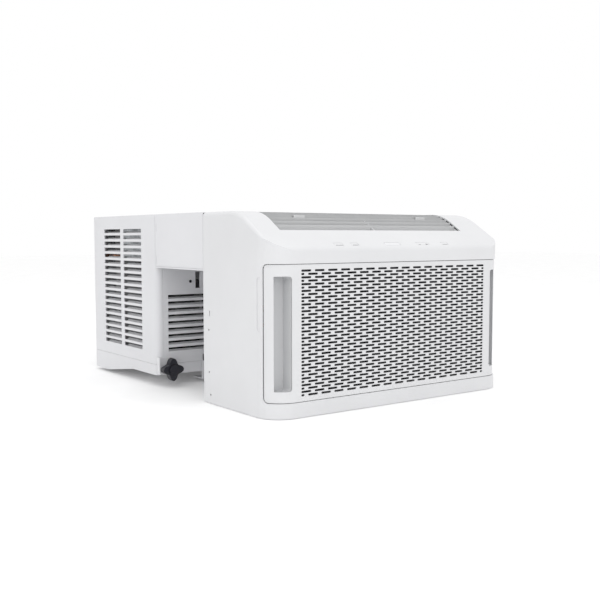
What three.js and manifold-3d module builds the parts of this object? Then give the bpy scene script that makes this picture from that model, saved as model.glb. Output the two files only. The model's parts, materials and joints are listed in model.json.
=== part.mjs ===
// Saddle window air conditioner: a room section and an outdoor section joined by a hollow bridge.
// Millimetres, +Z up. X runs across the unit, -Y faces the room and +Y faces outdoors.
// The origin is the centre of the bridge's underside, the face that rests on the window sill.
import * as THREE from 'three';
import { mergeVertices } from 'three/addons/utils/BufferGeometryUtils.js';
import Module from 'manifold-3d';

const wasm = await Module();
wasm.setup();

// ---------------------------------------------------------------- driving dimensions
const HALF_WIDTH = 280;
const TOP_Z = 106;
const SILL_HALF_GAP = 95; // from the origin to the facing wall of either section
const GAP = 0.4; // clearance kept between neighbouring pieces
const PLASTIC = 2.5; // moulded wall
const SHEET = 1.6; // formed sheet wall

const FRONT_Y = -316.5;
const ROOM_BOTTOM_Z = -240;
const ROOM_REAR_Y = -SILL_HALF_GAP;
const FRAME_REAR_Y = -98; // where the front frame meets the rear plate
const FRONT_CORNER_R = 45;
const TOP_EDGE_R = 8; // round along the casing's top side edges
const TOP_EDGE_STEPS = 3;
const SLOPE = Math.tan(THREE.MathUtils.degToRad(32));
const SLOPE_TOP_Y = -215; // where the slope's line meets the flat top
const SLOPE_TOP_R = 105;
const SLOPE_FOOT_R = 12;

const PANEL_TOP_Z = 16;
const PANEL_BOTTOM_Z = -213;
const PANEL_SIDE_Y = -285; // edge of the panel's side returns
const PANEL_SEAM = 0.9;
const PANEL_CORNER_R = 8;
const PANEL_WALL = 3;
const PANEL_SKIN = 0.5; // the panel sits this far inside the frame's outer surface
const PANEL_HALF_WIDTH = HALF_WIDTH - PANEL_SKIN;
const GRILLE_HALF_WIDTH = 220;
const GRILLE_TOP_Z = 7;
const GRILLE_BOTTOM_Z = -204;
const GRILLE_BORDER = 4; // plain edge round the slotted field

const POCKET_INNER_X = 239;
const POCKET_OUTER_X = 266;
const POCKET_TOP_Z = -3.6;
const POCKET_BOTTOM_Z = -194.6;
const POCKET_BACK_Y = -289;

const VENT_LEFT_X = -230;
const VENT_RIGHT_X = 205;
const VENT_FRONT_Y = -268;
const VENT_REAR_Y = -130;
const FIRST_SLAT_Y = -252;
const SLAT_PITCH = 10.9;
const SLAT_COUNT = 12;

const DUCT_LEFT_X = -232;
const DUCT_RIGHT_X = 207;
const BLOWER_Y = -185;
const BLOWER_Z = -20;
const BLOWER_R = 52;
const DEFLECTOR_PIVOT_Z = 46;
const DEFLECTOR_BAR_Z = 64;

const BRIDGE_INNER_HALF_WIDTH = 265; // opening between the sections
const DOORWAY_Z = [4, 92];

const OUTDOOR_FRONT_Y = SILL_HALF_GAP;
const OUTDOOR_REAR_Y = 410;
const OUTDOOR_CORNER_R = 12;
const CABINET_BOTTOM_Z = -195;
const PAN_FRONT_Z = -217;
const PAN_REAR_Z = -234;
const PAN_FALL_Y = [205, 335]; // where its underside starts and stops falling
const LOUVRE_PITCH = 13.35;
const LOUVRE_HEIGHT = 8;
const LOUVRE_TOP_Z = 74;
const SIDE_LOUVRE_ROWS = 19;
const FRONT_LOUVRE_ROWS = 9;

const FAN_X = 70;
const FAN_Z = -55;
const FAN_R = 122;
const FAN_Y = 331;
const FAN_MOTOR_Y = 306;
const COMPRESSOR_X = -170;
const COMPRESSOR_Y = 215;
const COMPRESSOR_FOOT_Z = -186;
const MOUNT_CIRCLE_R = 64;

const GLAND_X = 190;
const GLAND_Z = -215;

const KNOB_X = 255.5;
const KNOB_Y = [69, 83]; // front and rear faces
const KNOB_Z = -204.2;
const LEG_X = 158;

// ---------------------------------------------------------------- materials
function finish(color, roughness, metalness = 0) {
  return new THREE.MeshStandardMaterial({ color, roughness, metalness });
}

const WHITE = finish(0xe9eaec, 0.45);
const WHITE_SHEET = finish(0xe4e5e8, 0.5);
const GREY = finish(0x9a9ca0, 0.5);
const VENT_GREY = finish(0xc4c6c8, 0.5);
const DARK = finish(0x1c1c20, 0.6);
const GLOSS = finish(0xdfe1e4, 0.15);
const MESH_GREY = finish(0x55585c, 0.8);
const ALUMINIUM = finish(0xb9bcc0, 0.4, 0.9);
const COPPER = finish(0xb0714a, 0.35, 0.9);
const STEEL = finish(0x8d9196, 0.4, 0.9);
const BLACK_PAINT = finish(0x141416, 0.45);
const RUBBER = finish(0x17171a, 0.85);
const BOARD_GREEN = finish(0x2e5a3a, 0.6);

// ---------------------------------------------------------------- shape helpers
// A closed outline from corners [u, v, radius]; a corner with a radius becomes an arc.
function outline(corners, arcSteps = 6) {
  const points = [];
  corners.forEach(([u, v, radius = 0], i) => {
    const corner = new THREE.Vector2(u, v);
    if (radius === 0) {
      points.push(corner);
      return;
    }
    const before = new THREE.Vector2(...corners.at(i - 1).slice(0, 2)).sub(corner).normalize();
    const after = new THREE.Vector2(...corners[(i + 1) % corners.length].slice(0, 2)).sub(corner).normalize();
    const half = Math.acos(before.dot(after)) / 2;
    const centre = before.clone().add(after).normalize().multiplyScalar(radius / Math.sin(half)).add(corner);
    const start = before.clone().multiplyScalar(radius / Math.tan(half)).add(corner).sub(centre);
    const turn = (Math.PI - 2 * half) * Math.sign(before.cross(after)) * -1;
    for (let k = 0; k <= arcSteps; k++) {
      points.push(start.clone().rotateAround(new THREE.Vector2(), (turn * k) / arcSteps).add(centre));
    }
  });
  return new THREE.Shape(points);
}

const rectangle = (u0, u1, v0, v1, radius = 0) =>
  outline([[u0, v0, radius], [u1, v0, radius], [u1, v1, radius], [u0, v1, radius]], 4);

function circle(u, v, radius, sides = 16) {
  const points = [];
  for (let k = 0; k < sides; k++) {
    const a = (2 * Math.PI * (k + 0.5)) / sides;
    points.push(new THREE.Vector2(u + radius * Math.cos(a), v + radius * Math.sin(a)));
  }
  return new THREE.Shape(points);
}

function solid(geometry) {
  geometry.deleteAttribute('normal');
  geometry.deleteAttribute('uv');
  const merged = mergeVertices(geometry, 1e-4);
  const mesh = new wasm.Mesh({
    numProp: 3,
    vertProperties: new Float32Array(merged.attributes.position.array),
    triVerts: new Uint32Array(merged.index.array),
  });
  mesh.merge();
  return new wasm.Manifold(mesh);
}

// Extrusions along one axis; the outline is in the other two axes, in X, Y, Z order.
const AXES = {
  X: [new THREE.Vector3(0, 1, 0), new THREE.Vector3(0, 0, 1), new THREE.Vector3(1, 0, 0)],
  Y: [new THREE.Vector3(1, 0, 0), new THREE.Vector3(0, 0, 1), new THREE.Vector3(0, -1, 0)],
  Z: [new THREE.Vector3(1, 0, 0), new THREE.Vector3(0, 1, 0), new THREE.Vector3(0, 0, 1)],
};

function prism(axis, shape, from, to) {
  const options = { depth: to - from, bevelEnabled: false, curveSegments: 6 };
  const geometry = new THREE.ExtrudeGeometry(shape, options);
  geometry.applyMatrix4(new THREE.Matrix4().makeBasis(...AXES[axis]));
  geometry.translate(...(axis === 'X' ? [from, 0, 0] : axis === 'Y' ? [0, to, 0] : [0, 0, from]));
  return solid(geometry);
}

function block(x0, x1, y0, y1, z0, z1) {
  const geometry = new THREE.BoxGeometry(x1 - x0, y1 - y0, z1 - z0);
  geometry.translate((x0 + x1) / 2, (y0 + y1) / 2, (z0 + z1) / 2);
  return solid(geometry);
}

function rod(axis, [u, v], radius, from, to, sides = 16) {
  return prism(axis, circle(u, v, radius, sides), from, to);
}

function join(first, ...others) {
  return others.reduce((sum, piece) => sum.add(piece), first);
}

function cut(first, ...others) {
  return others.reduce((rest, piece) => rest.subtract(piece), first);
}

// Cuts columns by rows of windows through the field [x0, x1, z0, z1], leaving bars between them.
function lattice(body, [x0, x1, z0, z1], columns, rows, bar, y0, y1) {
  const pitchX = (x1 - x0 + bar) / columns;
  const pitchZ = (z1 - z0 + bar) / rows;
  let rest = body;
  for (let c = 0; c < columns; c++) {
    for (let r = 0; r < rows; r++) {
      const x = x0 + c * pitchX;
      const z = z0 + r * pitchZ;
      rest = rest.subtract(block(x, x + pitchX - bar, y0, y1, z, z + pitchZ - bar));
    }
  }
  return rest;
}

function piece(name, body, material) {
  const result = body.getMesh();
  const geometry = new THREE.BufferGeometry();
  const positions = new Float32Array((result.vertProperties.length / result.numProp) * 3);
  for (let i = 0; i < positions.length / 3; i++) {
    for (let k = 0; k < 3; k++) {
      positions[3 * i + k] = result.vertProperties[i * result.numProp + k];
    }
  }
  geometry.setAttribute('position', new THREE.BufferAttribute(positions, 3));
  geometry.setIndex(new THREE.BufferAttribute(new Uint32Array(result.triVerts), 1));
  geometry.computeVertexNormals();
  const mesh = new THREE.Mesh(geometry, material);
  mesh.name = name;
  return mesh;
}

function placed(mesh, x, y, z) {
  mesh.position.set(x, y, z);
  return mesh;
}

// Rounded route through points, for pipes.
function route(points, radius) {
  const path = new THREE.CurvePath();
  let from = points[0];
  for (let i = 1; i < points.length - 1; i++) {
    const corner = points[i];
    const enter = corner.clone().add(points[i - 1].clone().sub(corner).setLength(radius));
    const leave = corner.clone().add(points[i + 1].clone().sub(corner).setLength(radius));
    path.add(new THREE.LineCurve3(from, enter));
    path.add(new THREE.QuadraticBezierCurve3(enter, corner, leave));
    from = leave;
  }
  path.add(new THREE.LineCurve3(from, points.at(-1)));
  return path;
}

function pipe(points, bend, radius, steps) {
  const section = circle(0, 0, radius, 6);
  const options = { extrudePath: route(points.map((p) => new THREE.Vector3(...p)), bend), steps };
  return solid(new THREE.ExtrudeGeometry(section, options));
}

const group = new THREE.Group();
const roomSection = new THREE.Group();
const bridge = new THREE.Group();
const outdoorSection = new THREE.Group();
group.add(roomSection, bridge, outdoorSection);

// ---------------------------------------------------------------- room section: casing
// Height of the outer skin above a point of the sloping top, before rounding.
const slopeZ = (y) => Math.min(TOP_Z, TOP_Z - (SLOPE_TOP_Y - y) * SLOPE);

// Height of the outer skin, with the large round between the slope and the flat top.
function skinZ(y) {
  const tangent = SLOPE_TOP_R * Math.tan(Math.atan(SLOPE) / 2);
  const roundRear = SLOPE_TOP_Y + tangent;
  const roundFront = roundRear - SLOPE_TOP_R * Math.sin(Math.atan(SLOPE));
  if (y > roundRear || y < roundFront) {
    return slopeZ(y);
  }
  return TOP_Z - SLOPE_TOP_R + Math.sqrt(SLOPE_TOP_R ** 2 - (y - roundRear) ** 2);
}

// Side profile of the front frame, moved inwards by inset and cut at rearY.
function sideProfile(inset, rearY, bottomZ) {
  const front = FRONT_Y + inset;
  const drop = inset * Math.hypot(1, SLOPE);
  const footZ = TOP_Z - (SLOPE_TOP_Y - front) * SLOPE - drop;
  const topY = SLOPE_TOP_Y + (drop - inset) / SLOPE;
  return outline([
    [rearY, bottomZ],
    [rearY, TOP_Z - inset],
    [topY, TOP_Z - inset, SLOPE_TOP_R - inset],
    [front, footZ, SLOPE_FOOT_R - inset],
    [front, bottomZ],
  ], 7);
}

// Plan of the front frame with its two large front corners.
function planOutline(inset, rearY, half = HALF_WIDTH) {
  const radius = FRONT_CORNER_R - (HALF_WIDTH - half) - inset;
  return outline([
    [-half + inset, rearY],
    [-half + inset, FRONT_Y + (HALF_WIDTH - half) + inset, radius],
    [half - inset, FRONT_Y + (HALF_WIDTH - half) + inset, radius],
    [half - inset, rearY],
  ], 8);
}

// Casing with a round along each top side edge: the hull of ever wider, ever lower slices.
function frontBody(inset, rearY, bottomZ) {
  const radius = TOP_EDGE_R - inset;
  const slices = [];
  for (let k = 0; k <= TOP_EDGE_STEPS; k++) {
    const a = (Math.PI * k) / (2 * TOP_EDGE_STEPS);
    const half = HALF_WIDTH - TOP_EDGE_R + radius * Math.sin(a);
    const drop = radius * (1 - Math.cos(a));
    slices.push(prism('X', sideProfile(inset + drop, rearY, bottomZ), -half, half));
  }
  return wasm.Manifold.hull(slices).intersect(prism('Z', planOutline(inset, rearY), bottomZ, TOP_Z));
}

// The casing seen from the rear, moved inwards by inset.
function casingOutline(inset, bottomZ) {
  const half = HALF_WIDTH - inset;
  const top = TOP_Z - inset;
  const radius = TOP_EDGE_R - inset;
  const corners = [[-half, bottomZ], [half, bottomZ], [half, top, radius], [-half, top, radius]];
  return outline(corners, TOP_EDGE_STEPS);
}

// Buttons and display sit on the slope: [name, x, half width].
const CONTROLS = [
  ['button_power', -135, 9],
  ['button_timer', -99, 8],
  ['temperature_rocker', 63, 15],
  ['button_mode', 120, 8],
];
const DISPLAY = { x: -12, halfWidth: 18 };
const CONTROL_Y = -307;
const CONTROL_Z = slopeZ(CONTROL_Y);
const CONTROL_HALF_DEPTH = 4.2;
const slopeTilt = Math.atan(SLOPE);

// Moves a body modelled flat, top at z = 0, onto the slope at x.
function onSlope(body, x) {
  return body.rotate([(slopeTilt * 180) / Math.PI, 0, 0]).translate([x, CONTROL_Y, CONTROL_Z]);
}

// Screw holes in the casing's side walls, as [y, z].
const CASING_SCREWS = [[-114, -106], [-114, -183], [-119, -224]];
const SCREW_HOLE_R = 2;

function frontFrame() {
  const inner = frontBody(PLASTIC, FRAME_REAR_Y + 10, ROOM_BOTTOM_Z - 10);
  const bandBottom = PANEL_TOP_Z + PANEL_SEAM;
  const baseTop = PANEL_BOTTOM_Z - PANEL_SEAM;
  const web = [-HALF_WIDTH + 5, HALF_WIDTH - 5, FRONT_Y + 4.5, PANEL_SIDE_Y - 1];
  const bandWeb = block(...web, bandBottom, bandBottom + PLASTIC);
  const baseWeb = block(...web, baseTop - PLASTIC, baseTop);
  const clipped = frontBody(PLASTIC - 0.5, FRAME_REAR_Y, ROOM_BOTTOM_Z + GAP);
  const shell = cut(frontBody(0, FRAME_REAR_Y, ROOM_BOTTOM_Z + GAP), inner);
  const panelDoor = outline([
    [FRONT_Y - 20, baseTop],
    [PANEL_SIDE_Y + 1, baseTop, PANEL_CORNER_R + 1],
    [PANEL_SIDE_Y + 1, bandBottom, PANEL_CORNER_R + 1],
    [FRONT_Y - 20, bandBottom],
  ]);
  let body = cut(
    join(shell, bandWeb.add(baseWeb).intersect(clipped)),
    prism('X', panelDoor, -HALF_WIDTH - 20, HALF_WIDTH + 20),
    block(VENT_LEFT_X, VENT_RIGHT_X, VENT_FRONT_Y, VENT_REAR_Y, 60, TOP_Z + 5),
  );
  for (const [, x, halfWidth] of CONTROLS) {
    const halfX = halfWidth + GAP;
    const halfY = CONTROL_HALF_DEPTH + GAP;
    const hole = rectangle(-halfX, halfX, -halfY, halfY, 2);
    body = body.subtract(onSlope(prism('Z', hole, -8, 5), x));
  }
  const windowX = DISPLAY.halfWidth + GAP;
  const windowY = CONTROL_HALF_DEPTH + GAP;
  const window = rectangle(-windowX, windowX, -windowY, windowY, 2);
  body = body.subtract(onSlope(prism('Z', window, -8, 5), DISPLAY.x));
  // Shallow finger scoops beside the panel's edge.
  for (const side of [-1, 1]) {
    const scoop = rectangle(-290, -272, -95.5, -4.7, 6);
    const x = side * HALF_WIDTH;
    body = body.subtract(prism('X', scoop, x - 1.2, x + 1.2));
  }
  // A vent slot and screw holes near the rear edge, through both side walls.
  const reach = HALF_WIDTH + 5;
  body = body.subtract(prism('X', rectangle(-118.3, -115.7, -81, -71, 1), -reach, reach));
  for (const [y, z] of CASING_SCREWS) {
    body = body.subtract(rod('X', [y, z], SCREW_HOLE_R, -reach, reach, 8));
  }
  return body;
}

// Rear plate with three returns that slip inside the frame's walls.
function rearCase() {
  const y0 = FRAME_REAR_Y + GAP;
  const plate = prism('Y', casingOutline(0, ROOM_BOTTOM_Z + GAP), y0, ROOM_REAR_Y);
  const inset = PLASTIC + GAP;
  const returns = cut(
    prism('Y', casingOutline(inset, ROOM_BOTTOM_Z + 12), y0 - 14, y0 + 1),
    prism('Y', casingOutline(inset + PLASTIC, ROOM_BOTTOM_Z), y0 - 20, y0 + 5),
  );
  const doorway = block(
    -BRIDGE_INNER_HALF_WIDTH, BRIDGE_INNER_HALF_WIDTH, ROOM_REAR_Y - 5, ROOM_REAR_Y + 5, ...DOORWAY_Z);
  const gland = rod('Y', [GLAND_X, GLAND_Z], 8.4, ROOM_REAR_Y - 10, ROOM_REAR_Y + 10, 12);
  return cut(plate.add(returns), doorway, gland);
}

function baseTray() {
  const inset = PLASTIC + GAP;
  const plate = prism('Z', planOutline(inset, ROOM_REAR_Y - 5), ROOM_BOTTOM_Z, ROOM_BOTTOM_Z + 10);
  const hollow = prism('Z', planOutline(inset + 2, ROOM_REAR_Y - 7), ROOM_BOTTOM_Z + 2, ROOM_BOTTOM_Z + 20);
  return plate.subtract(hollow);
}

roomSection.add(
  piece('front_frame', frontFrame(), WHITE),
  piece('rear_case', rearCase(), WHITE),
  piece('base_tray', baseTray(), WHITE),
);

// ---------------------------------------------------------------- room section: tilting panel
const grilleField = (margin) => [
  -GRILLE_HALF_WIDTH - margin, GRILLE_HALF_WIDTH + margin, GRILLE_BOTTOM_Z - margin, GRILLE_TOP_Z + margin,
];

// Front moulding that wraps both corners, with a window for the slotted field and one for each grip.
function frontPanel() {
  const ring = planOutline(0, FRAME_REAR_Y, PANEL_HALF_WIDTH);
  const inner = planOutline(PANEL_WALL, FRAME_REAR_Y + 10, PANEL_HALF_WIDTH);
  const sideMask = outline([
    [FRONT_Y - 20, PANEL_BOTTOM_Z],
    [PANEL_SIDE_Y, PANEL_BOTTOM_Z, PANEL_CORNER_R],
    [PANEL_SIDE_Y, PANEL_TOP_Z, PANEL_CORNER_R],
    [FRONT_Y - 20, PANEL_TOP_Z],
  ]);
  const [x0, x1, z0, z1] = grilleField(GRILLE_BORDER + GAP);
  const shell = prism('Z', ring, PANEL_BOTTOM_Z, PANEL_TOP_Z)
    .subtract(prism('Z', inner, PANEL_BOTTOM_Z - 5, PANEL_TOP_Z + 5));
  return cut(
    shell.intersect(prism('X', sideMask, -HALF_WIDTH - 5, HALF_WIDTH + 5)),
    block(x0, x1, FRONT_Y - 5, FRONT_Y + 9, z0, z1),
    pocketOpening(-1, 0, FRONT_Y - 20, POCKET_BACK_Y + 1),
    pocketOpening(1, 0, FRONT_Y - 20, POCKET_BACK_Y + 1),
  );
}

// The flat slotted field in the middle of the panel.
function panelGrille() {
  const [x0, x1, z0, z1] = grilleField(GRILLE_BORDER);
  const face = FRONT_Y + PANEL_SKIN;
  const plate = block(x0, x1, face, face + PANEL_WALL, z0, z1);
  return lattice(plate, grilleField(0), 3, 8, 7, FRONT_Y - 5, FRONT_Y + 9);
}

// Prism of the grip pocket's outline, grown by margin.
function pocketOpening(side, margin, y0, y1) {
  const inner = side * (POCKET_INNER_X - margin);
  const outer = side * (POCKET_OUTER_X + margin);
  const bottom = POCKET_BOTTOM_Z - margin;
  const top = POCKET_TOP_Z + margin;
  const radius = 5 + margin;
  const shape = outline([[inner, bottom, radius], [outer, bottom], [outer, top], [inner, top, radius]], 4);
  return prism('Y', shape, y0, y1);
}

function gripPocket(side) {
  const wall = 1.8;
  // The cup stops behind the panel's inner face, all the way round the corner.
  const behindPanel = prism('Z', planOutline(PANEL_WALL + GAP, FRAME_REAR_Y, PANEL_HALF_WIDTH), -220, 20);
  const cup = pocketOpening(side, wall, FRONT_Y, POCKET_BACK_Y + wall).intersect(behindPanel);
  return cup.subtract(pocketOpening(side, 0, FRONT_Y - 20, POCKET_BACK_Y));
}

// Filter frame; each cell keeps a thin web, the filter cloth, behind a shallow recess.
const FILTER_HALF_WIDTH = 226;
const FILTER_FRONT_Y = -311;
const FILTER_EDGE = 7;

function airFilter() {
  const [bottom, top] = [GRILLE_BOTTOM_Z + 1, GRILLE_TOP_Z + 1];
  const frame = block(-FILTER_HALF_WIDTH, FILTER_HALF_WIDTH, FILTER_FRONT_Y, FILTER_FRONT_Y + 6, bottom, top);
  const x = FILTER_HALF_WIDTH - FILTER_EDGE;
  const field = [-x, x, bottom + FILTER_EDGE, top - FILTER_EDGE];
  return lattice(frame, field, 6, 3, 4, FILTER_FRONT_Y - 1, FILTER_FRONT_Y + 2.4);
}

roomSection.add(
  piece('front_panel', frontPanel(), WHITE),
  piece('panel_grille', panelGrille(), WHITE),
  piece('grip_pocket_left', gripPocket(-1), GREY),
  piece('grip_pocket_right', gripPocket(1), GREY),
  piece('air_filter', airFilter(), MESH_GREY),
);

// ---------------------------------------------------------------- room section: discharge
function dischargeGrille() {
  const x0 = VENT_LEFT_X + GAP;
  const x1 = VENT_RIGHT_X - GAP;
  const depth = 12;
  // Front ledge, out of sight below the casing's edge.
  const ledgeTop = skinZ(VENT_FRONT_Y) - 7;
  let body = block(x0, x1, VENT_FRONT_Y + GAP, FIRST_SLAT_Y + 6, ledgeTop - 3, ledgeTop);
  for (let k = 0; k < SLAT_COUNT; k++) {
    const top = FIRST_SLAT_Y + k * SLAT_PITCH;
    const z = skinZ(top) - 0.8;
    const slat = outline([[top, z], [top + 3.5, z - depth], [top + 5.1, z - depth], [top + 1.6, z]]);
    body = body.add(prism('X', slat, x0, x1));
  }
  // Ribs that carry the slats, their top edge following the skin.
  const ribEdge = [];
  for (let k = 0; k <= 8; k++) {
    const y = VENT_FRONT_Y + 3 + (k * (VENT_REAR_Y - GAP - VENT_FRONT_Y - 3)) / 8;
    ribEdge.push(y);
  }
  const rib = new THREE.Shape([
    ...ribEdge.map((y) => new THREE.Vector2(y, skinZ(y) - 8 - depth / 3)),
    ...ribEdge.toReversed().map((y) => new THREE.Vector2(y, skinZ(y) - 5.5)),
  ]);
  for (const x of [x0, -13.5, x1 - 2]) {
    body = body.add(prism('X', rib, x, x + 2));
  }
  const rearRail = block(x0, x1, VENT_REAR_Y - 3 - GAP, VENT_REAR_Y - GAP, TOP_Z - 13, TOP_Z - 1);
  return body.add(rearRail);
}

// One vertical deflector blade about its pivot line, with a pin at either end.
function deflectorBlade() {
  const plate = block(-0.8, 0.8, -34.5, 38, -8, 27);
  const pin = rod('Y', [0, 0], 1.8, -46, 42, 8);
  return plate.add(pin);
}

const DEFLECTOR_SPACING = 40;
const BLADES_PER_GROUP = 5;
const TAB_OFFSET = { left: -32, right: 38 };
const DEFLECTOR_CENTRE = { left: -125, right: 100 };

// A bar notched for each blade, with a finger tab that stands up between two slats.
function deflectorBar(tabX) {
  const half = ((BLADES_PER_GROUP - 1) * DEFLECTOR_SPACING) / 2;
  let body = block(-half - 8, half + 8, -38, -28, -1, 1);
  for (let k = 0; k < BLADES_PER_GROUP; k++) {
    const x = -half + k * DEFLECTOR_SPACING;
    body = body.subtract(block(x - 2.6, x + 2.6, -35, -20, -5, 5));
  }
  return body.add(block(tabX - 12, tabX + 12, -38, -35.8, -1, 35.5));
}

roomSection.add(piece('discharge_grille', dischargeGrille(), VENT_GREY));
for (const side of ['left', 'right']) {
  const centre = DEFLECTOR_CENTRE[side];
  for (let k = 0; k < BLADES_PER_GROUP; k++) {
    const x = centre + (k - (BLADES_PER_GROUP - 1) / 2) * DEFLECTOR_SPACING;
    const blade = piece(`deflector_${side}_${k + 1}`, deflectorBlade(), VENT_GREY);
    roomSection.add(placed(blade, x, BLOWER_Y, DEFLECTOR_PIVOT_Z));
  }
  const bar = piece(`deflector_bar_${side}`, deflectorBar(TAB_OFFSET[side]), VENT_GREY);
  roomSection.add(placed(bar, centre, BLOWER_Y, DEFLECTOR_BAR_Z));
}

// ---------------------------------------------------------------- room section: controls
for (const [name, x, halfWidth] of CONTROLS) {
  const cap = rectangle(-halfWidth, halfWidth, -CONTROL_HALF_DEPTH, CONTROL_HALF_DEPTH, 2);
  const stem = rectangle(-2, 2, -2, 2);
  const body = prism('Z', cap, -4, 0).add(prism('Z', stem, -7, -3));
  roomSection.add(piece(name, onSlope(body, x), WHITE));
}
const windowShape = rectangle(
  -DISPLAY.halfWidth, DISPLAY.halfWidth, -CONTROL_HALF_DEPTH, CONTROL_HALF_DEPTH, 2);
roomSection.add(
  piece('display_window', onSlope(prism('Z', windowShape, -3.5, 0), DISPLAY.x), GLOSS),
  piece('control_board', onSlope(block(-152, 132, -8, 26, -10.5, -8.9), 0), BOARD_GREEN),
);

// ---------------------------------------------------------------- room section: air path
const COIL_PLATE = 3; // end plate of a coil, standing proud of its fins all round
const BEND_REACH = 10;
const BEND_TUBE = 6;

// A coil's fin block with an end plate on either side.
function coilBlock([x0, x1], [y0, y1], [z0, z1]) {
  const lip = COIL_PLATE;
  const plates = [x0 - lip, x1].map((x) => block(x, x + lip, y0 - 1, y1 + 1, z0 - lip, z1 + lip));
  return join(block(x0, x1, y0, y1, z0, z1), ...plates);
}

// Square return bends on the right-hand end plate, each spanning two tubes.
function returnBends(x, y, firstZ, pitch, span, count) {
  const bends = [];
  const ys = [y - BEND_TUBE / 2, y + BEND_TUBE / 2];
  for (let k = 0; k < count; k++) {
    const z = firstZ + k * pitch;
    bends.push(
      block(x, x + BEND_REACH, ...ys, z, z + BEND_TUBE),
      block(x, x + BEND_REACH, ...ys, z + span - BEND_TUBE, z + span),
      block(x + BEND_REACH - BEND_TUBE, x + BEND_REACH, ...ys, z, z + span),
    );
  }
  return bends;
}

function evaporator() {
  return join(
    coilBlock([-226, 200], [-283, -247], [-190, 6]),
    ...returnBends(203, -273, -175, 32, 24, 6),
    rod('X', [-262, -60], 6, -234, -228, 8),
    rod('X', [-262, -90], 4, -234, -228, 8),
  );
}

function drainPan() {
  // It rests just above the web below the panel.
  const bottom = PANEL_BOTTOM_Z - PANEL_SEAM + GAP;
  const outer = block(-231, 216, -291, -216, bottom, -197);
  return outer.subtract(block(-229, 214, -289, -218, bottom + 2, -190));
}

function arcPoints(radius, fromDeg, toDeg, count) {
  const points = [];
  for (let k = 0; k <= count; k++) {
    const a = THREE.MathUtils.degToRad(fromDeg + ((toDeg - fromDeg) * k) / count);
    points.push(new THREE.Vector2(BLOWER_Y + radius * Math.cos(a), BLOWER_Z + radius * Math.sin(a)));
  }
  return points;
}

// A bent sheet of constant thickness, seen edge on: points run along its right-hand face.
function bentSheet(points, thickness) {
  const offset = points.map((point, i) => {
    const next = points[Math.min(i + 1, points.length - 1)];
    const along = next.clone().sub(points[Math.max(i - 1, 0)]).normalize();
    return new THREE.Vector2(-along.y, along.x).multiplyScalar(thickness).add(point);
  });
  return new THREE.Shape([...points, ...offset.reverse()]);
}

function blowerHousing() {
  const scroll = bentSheet([
    new THREE.Vector2(BLOWER_Y + 60, 90),
    ...arcPoints(60, 0, -120, 10),
    new THREE.Vector2(-228, -96),
    new THREE.Vector2(-228, -194),
  ], PLASTIC);
  const tongue = outline([[-262, 62], [-240, 28], [-232, 14], [-230, 16], [-237.5, 29], [-259.5, 62]]);
  const endPlate = outline([
    [-262, 62], [-240, 28], [-241, -10], [-241, -80], [-228, -110], [-225.5, -110],
    [-215, -80], [BLOWER_Y + 62, -60], [BLOWER_Y + 62.5, 90], [-225, 88],
  ]);
  let body = prism('X', scroll, DUCT_LEFT_X - PLASTIC, DUCT_RIGHT_X + PLASTIC);
  body = body.add(prism('X', tongue, DUCT_LEFT_X - PLASTIC, DUCT_RIGHT_X + PLASTIC));
  for (const x of [DUCT_LEFT_X - PLASTIC, DUCT_RIGHT_X]) {
    const hole = rod('X', [BLOWER_Y, BLOWER_Z], 5, x - 1, x + PLASTIC + 1, 12);
    body = body.add(prism('X', endPlate, x, x + PLASTIC)).subtract(hole);
  }
  return body;
}

function blowerWheel() {
  const x0 = DUCT_LEFT_X + 3;
  const x1 = DUCT_RIGHT_X - 3;
  let body = rod('X', [0, 0], 4, x0 - 9, x1 + 15, 10);
  const discs = 3;
  for (let k = 0; k < discs; k++) {
    const x = x0 + ((x1 - x0 - 3) * k) / (discs - 1);
    body = body.add(rod('X', [0, 0], BLOWER_R, x, x + 3, 20));
  }
  const vanes = 10;
  for (let k = 0; k < vanes; k++) {
    const fin = block(x0 + 1, x1 - 1, BLOWER_R - 12, BLOWER_R - 0.8, -1, 1).rotate([(360 * k) / vanes, 0, 0]);
    body = body.add(fin);
  }
  return body;
}

function blowerMotor() {
  const x0 = DUCT_RIGHT_X + PLASTIC + 1.5;
  const can = rod('X', [0, 0], 34, x0, x0 + 42, 20).add(rod('X', [0, 0], 12, x0 + 40, x0 + 46, 12));
  const foot = block(x0 + 6, x0 + 30, -45, 45, -38, -30);
  return join(can, foot).subtract(rod('X', [0, 0], 4.5, x0 - 1, x0 + 14, 10));
}

roomSection.add(
  piece('evaporator_coil', evaporator(), ALUMINIUM),
  piece('drain_pan', drainPan(), GREY),
  piece('blower_housing', blowerHousing(), VENT_GREY),
  placed(piece('blower_wheel', blowerWheel(), DARK), 0, BLOWER_Y, BLOWER_Z),
  placed(piece('blower_motor', blowerMotor(), STEEL), 0, BLOWER_Y, BLOWER_Z),
);

// Power inlet gland in the rear wall.
const glandBody = join(
  rod('Y', [0, 0], 8, -6, 4, 12),
  rod('Y', [0, 0], 12, GAP, 5, 12),
).subtract(rod('Y', [0, 0], 4, -10, 3, 10));
roomSection.add(placed(piece('cord_gland', glandBody, RUBBER), GLAND_X, ROOM_REAR_Y, GLAND_Z));

// ---------------------------------------------------------------- bridge
function bridgeCover() {
  const y = SILL_HALF_GAP - GAP;
  const skin = rectangle(-HALF_WIDTH, HALF_WIDTH, 3 + GAP, TOP_Z);
  const hollow = rectangle(-HALF_WIDTH + SHEET, HALF_WIDTH - SHEET, -10, TOP_Z - SHEET);
  let body = prism('Y', skin, -y, y).subtract(prism('Y', hollow, -y - 5, y + 5));
  // Shallow pressed grooves beside the outdoor section.
  for (const side of [-1, 1]) {
    const x = side * HALF_WIDTH;
    for (const [z0, z1] of [[8, 24], [72, 87]]) {
      body = body.subtract(block(x - 0.8, x + 0.8, 88, 91, z0, z1));
    }
  }
  return body;
}

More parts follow.
